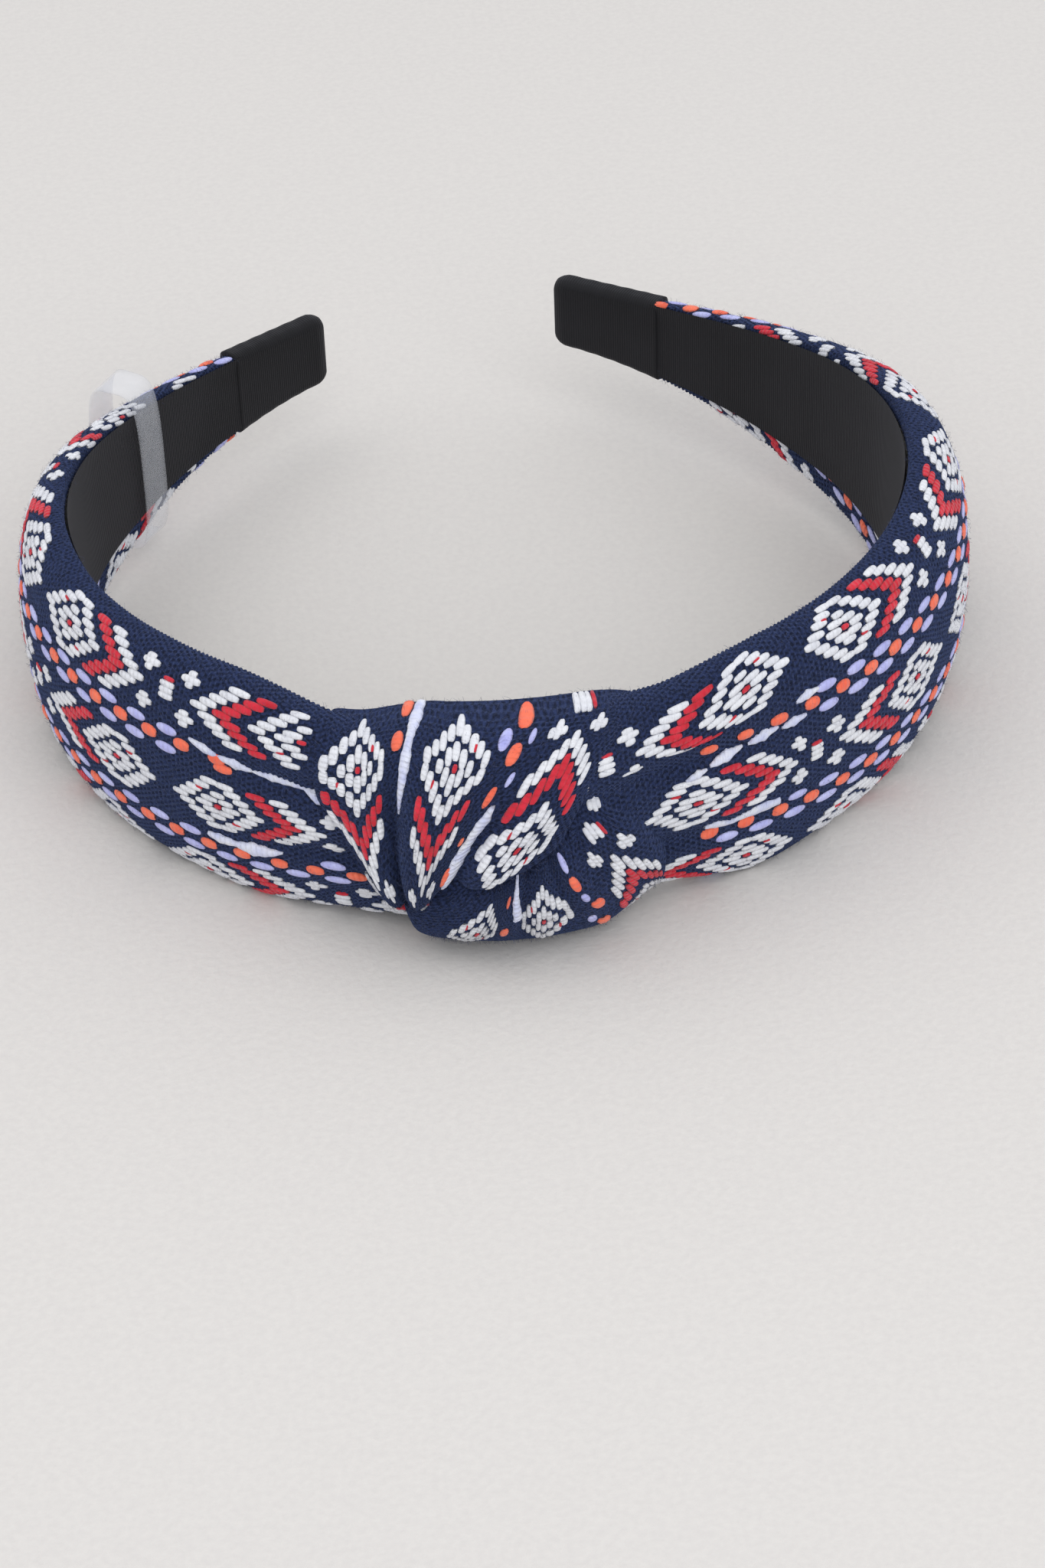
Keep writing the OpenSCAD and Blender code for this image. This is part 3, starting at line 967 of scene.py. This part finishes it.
def back_shape(u, v):
    """The strip behind the knot, with its long edges folded under."""
    edge = np.clip((np.abs(u) - 14.2) / 1.6, 0, 1)
    n = -2.6 - 0.5 * hump(u, 0, 9) + 2.2 * edge**2 + 0.25 * np.sin(u * 0.55 + 0.1 * v)
    bend = smooth((np.abs(v) - 13.2) / 3.4)
    return place(KNOT_AT + u, n + 2.6 * bend, KNOT_MIDDLE_Z + v * 0.97)


def knot_back():
    cloth = Cloth(back_shape, (-15.8, 15.8), (-16, 16), 0.4)
    cloth.normals = -cloth.normals
    cloth.flip = not cloth.flip
    floats = both_ways(0.0, 4.0) + bead_row(-14, 12, -5.0, 1.0) + column(-30, -13.2, 1)
    knot_piece("back", "knot_back", cloth, (-15.6, 15.6), (-16, 16), floats, None)


def knot_stitches():
    """Five short hand stitches on the inside of the knot."""
    rings, around = 9, 12
    turn = 2 * math.pi * np.arange(around) / around
    along = np.linspace(-1.3, 1.3, rings)
    radius = 0.3 * np.sqrt(np.maximum(1 - (along / 1.42) ** 4, 0.05))
    points, faces = [], []
    for k in range(-2, 3):
        s = KNOT_AT + 3.2 * k + along[:, None] + 0 * turn[None, :]
        n = -3.5 + radius[:, None] * np.cos(turn) + 0.35 * (along[:, None] / 1.3) ** 2
        z = KNOT_MIDDLE_Z - 8 - 0.35 * along[:, None] + radius[:, None] * np.sin(turn)
        start = len(points) * rings * around
        points.append(place(s, n, z))
        faces += [[i + start for i in face] for face in tube_faces(rings, around)]
    piece = make_piece("stitches", np.array(points), faces, THREAD)
    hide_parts("tack_stitches")
    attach(piece, "crown")


# ---- Inside the band ----


def swept(name, stations, section, material, flip=False):
    """A closed solid from closed sections. section gives (n, z above the band's middle) at s."""
    rings = np.array([section(s) for s in stations])
    count = rings.shape[1]
    s = np.repeat(np.asarray(stations, float)[:, None], count, 1)
    points = place(s, rings[..., 0], np.maximum(rings[..., 1] + middle_at(s), 0.02))
    faces = grid_faces(len(stations), count, closed_across=True, flip=flip)
    caps = [list(range(count)), [(len(stations) - 1) * count + i for i in range(count)][::-1]]
    faces += [cap[::-1] for cap in caps] if flip else caps
    run = np.abs(s)
    around = np.broadcast_to(np.arange(count, dtype=float), s.shape)
    return make_piece(name, points, faces, material, np.stack([run, around], -1))


def rounded_bar(n_low, n_high, half, steps=5, corner=0.35):
    """A flat bar's section with rounded corners, as (n, z) points."""
    radius = min(corner, (n_high - n_low) / 2, half)
    points = []
    for cn, cz, start in (
        (n_high - radius, half - radius, 90),
        (n_low + radius, half - radius, 180),
        (n_low + radius, -half + radius, 270),
        (n_high - radius, -half + radius, 0),
    ):
        for i in range(steps):
            angle = math.radians(start - 90 + 90 * i / (steps - 1))
            points.append((cn + radius * math.cos(angle), cz + radius * math.sin(angle)))
    return np.array(points)


def core_section(s):
    return rounded_bar(1.0, 2.2, float(height_at(s)) * 0.34)


def foam_section(s):
    half = (float(height_at(s)) / 2 - 1.2) * 0.97
    depth = float(thickness_at(s)) - 1.1 - 2.3
    beta = np.linspace(-math.pi / 2, math.pi / 2, 25)
    front = [(2.3 + depth * max(math.cos(b), 0) ** 0.75, half * math.sin(b)) for b in beta]
    back = [(2.28, half * math.sin(b)) for b in beta[::-1][1:-1:3]]
    return np.array(front + back)


def arm_stations(side, first, last, step=1.5):
    count = int((last - first) / step) + 1
    return side * np.linspace(first, last, count)


def core(side):
    word = ARM_NAMES[side]
    first = 28.0 if side < 0 else 17.0
    stations = arm_stations(side, first, ARM_LENGTH - 1.2)
    piece = swept(f"{word}_core", stations, core_section, CORE, flip=side < 0)
    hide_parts(f"core_arm_{word}")
    arm_blend(piece, side)


def crown_core():
    piece = swept("crown_core", np.linspace(-28.0, 17.0, 31), core_section, CORE)
    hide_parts("core_crown")
    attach(piece, "crown")


def foam(side):
    word = ARM_NAMES[side]
    first = 30.0 if side < 0 else 19.0
    stations = arm_stations(side, first, WRAP_START - 16)
    piece = swept(f"{word}_foam", stations, foam_section, FOAM, flip=side < 0)
    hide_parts(f"foam_{word}")
    arm_blend(piece, side)


def lining_strip(name, stations):
    """Satin ribbon inside the band. Its long edges lie on the turned cloth."""
    across = np.linspace(0, 1, 15)
    s = np.repeat(np.asarray(stations, float)[:, None], len(across), 1)
    half = height_at(s) / 2
    low = -half - low_swell(s) + low_margin_at(s) - 1.2
    high = half + top_swell(s) - top_margin_at(s) + 1.0
    z = low + (high - low) * across[None, :]
    edge = np.minimum(across, 1 - across)[None, :]
    n = -0.42 + 0.14 * smooth(edge * 6) + 0.06 * np.sin(s * 0.35) * smooth(edge * 5)
    points = place(s, n, z + middle_at(s))
    flip = stations[-1] > 0
    faces = grid_faces(len(stations), len(across), flip=not flip)
    return make_piece(name, points, faces, RIBBON, np.stack([s, z], -1))


def lining(side):
    word = ARM_NAMES[side]
    first = 25.0 if side < 0 else 14.0
    piece = lining_strip(f"{word}_lining", arm_stations(side, first, WRAP_START + 1.5, 1.0))
    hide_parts(f"lining_{word}")
    arm_blend(piece, side)


def crown_lining():
    piece = lining_strip("crown_lining", np.linspace(14.0, -25.0, 40))
    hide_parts("lining_crown")
    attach(piece, "crown")


def tip_wrap(side):
    """Ribbon folded over the end of the band, with a raised edge where it begins."""
    word = ARM_NAMES[side]
    run = np.array([0, 0.15, 0.4, 0.7, *np.linspace(1.2, 18.6, 36), 19.4, 19.9, 20.25, 20.5])
    stations = side * (WRAP_START - 0.2 + run)

    def section(s):
        into = abs(s) - WRAP_START + 0.2
        end = np.clip((20.5 - into) / 1.6, 0, 1) ** 0.5
        start = np.clip(into / 0.4, 0, 1) ** 0.5
        scale = (0.86 + 0.14 * start) * (0.8 + 0.2 * end)
        half = (float(height_at(s)) / 2 + 0.35) * scale
        half += 0.04 * math.sin(into * 1.9) * float(smooth(np.array(into / 3.0)))
        thin = (0.7 + 0.3 * start) * (0.55 + 0.45 * end)
        return rounded_bar(1.55 - 2.05 * thin, 1.55 + 2.05 * thin, half, 7, 1.5)

    piece = swept(f"{word}_tip_wrap", stations, section, RIBBON, flip=side < 0)
    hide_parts(f"tip_wrap_{word}")
    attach(piece, f"arm_{word}")


def strap_loop():
    """A loose loop of clear strap, wide enough to pass the thicker band nearer the knot as it slides."""
    centre_s = -141.0
    widest_s = centre_s + 7.0
    centre_z = float(middle_at(centre_s))
    half = float(height_at(widest_s)) / 2 + 2.1
    depth = float(thickness_at(widest_s)) + 2.9
    turn = np.linspace(0, 2 * math.pi, 73)[:-1]
    c, w = np.cos(turn), np.sin(turn)
    n = -1.35 + depth / 2 + depth / 2 * np.sign(c) * np.abs(c) ** 0.45
    z = half * np.sign(w) * np.abs(w) ** 0.55
    across = np.array([-3.2, -3.25, -3.2, -1.6, 0, 1.6, 3.2, 3.25, 3.2, 1.6, 0, -1.6])
    lift = np.array([0.0, 0.17, 0.35, 0.35, 0.35, 0.35, 0.35, 0.17, 0.0, 0.0, 0.0, 0.0])
    rings = []
    for i in range(len(turn)):
        outward = np.array([c[i], w[i] * 0.9])
        outward /= np.linalg.norm(outward)
        rings.append(place(centre_s + across, n[i] + outward[0] * lift, centre_z + z[i] + outward[1] * lift))
    points = np.array(rings)
    faces = grid_faces(len(turn), len(across), closed_across=True, closed_along=True)
    piece = make_piece("strap_loop", points, faces, clear_film())
    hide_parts("tag_loop")
    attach(piece, "tag_loop")


# ---- Floor, light and camera ----


def floor():
    mesh = bpy.data.meshes.new("floor")
    reach, level = 3, -0.0002
    corners = [(-reach, -reach, level), (reach, -reach, level), (reach, reach, level), (-reach, reach, level)]
    mesh.from_pydata(corners, [], [(0, 1, 2, 3)])
    mesh.materials.append(floor_cloth())
    piece = bpy.data.objects.new("floor", mesh)
    bpy.context.scene.collection.objects.link(piece)


def area_light(name, at, size, energy, colour):
    data = bpy.data.lights.new(name, "AREA")
    data.shape = "SQUARE"
    data.size = size
    data.energy = energy
    data.color = colour
    lamp = bpy.data.objects.new(name, data)
    lamp.location = at
    lamp.rotation_euler = (-Vector(at)).to_track_quat("-Z", "Y").to_euler()
    bpy.context.scene.collection.objects.link(lamp)


def light():
    world = bpy.data.worlds.new("soft_room")
    world.use_nodes = True
    background = world.node_tree.nodes["Background"]
    background.inputs["Color"].default_value = (0.93, 0.95, 1.0, 1)
    background.inputs["Strength"].default_value = 0.86
    bpy.context.scene.world = world
    area_light("key", (-0.3, 0.1, 1.2), 1.3, 3.4, (1.0, 0.96, 0.92))
    area_light("fill", (0.25, -0.9, 0.9), 1.2, 5.5, (0.97, 0.98, 1.0))


def camera():
    """Looks down on the knot from the front, a little to its left."""
    elevation, azimuth, roll = (math.radians(a) for a in (38.8, -6.1, -2.2))
    level = math.cos(elevation)
    back = Vector((math.sin(azimuth) * level, -math.cos(azimuth) * level, math.sin(elevation)))
    right = Vector((math.cos(azimuth), math.sin(azimuth), 0))
    up = back.cross(right)
    side = right * math.cos(roll) + up * math.sin(roll)
    top = up * math.cos(roll) - right * math.sin(roll)
    aim = Vector((0.0003, (28.1 - ORIGIN_Y) * MM, 0))
    at = aim + back * 0.642
    data = bpy.data.cameras.new("camera")
    data.sensor_fit = "VERTICAL"
    data.sensor_height = 24.0
    data.lens = 63.18
    eye = bpy.data.objects.new("camera", data)
    turn = Matrix((side, top, back)).transposed().to_4x4()
    eye.matrix_world = Matrix.Translation(at) @ turn
    bpy.context.scene.collection.objects.link(eye)
    bpy.context.scene.camera = eye
    bpy.context.scene.view_settings.view_transform = "Standard"


for which in (-1, 1):
    core(which)
    foam(which)
    sleeve(which)
    lining(which)
    tip_wrap(which)
crown_core()
crown_lining()
knot_flap()
knot_roll()
knot_back()
knot_stitches()
strap_loop()
floor()
light()
camera()
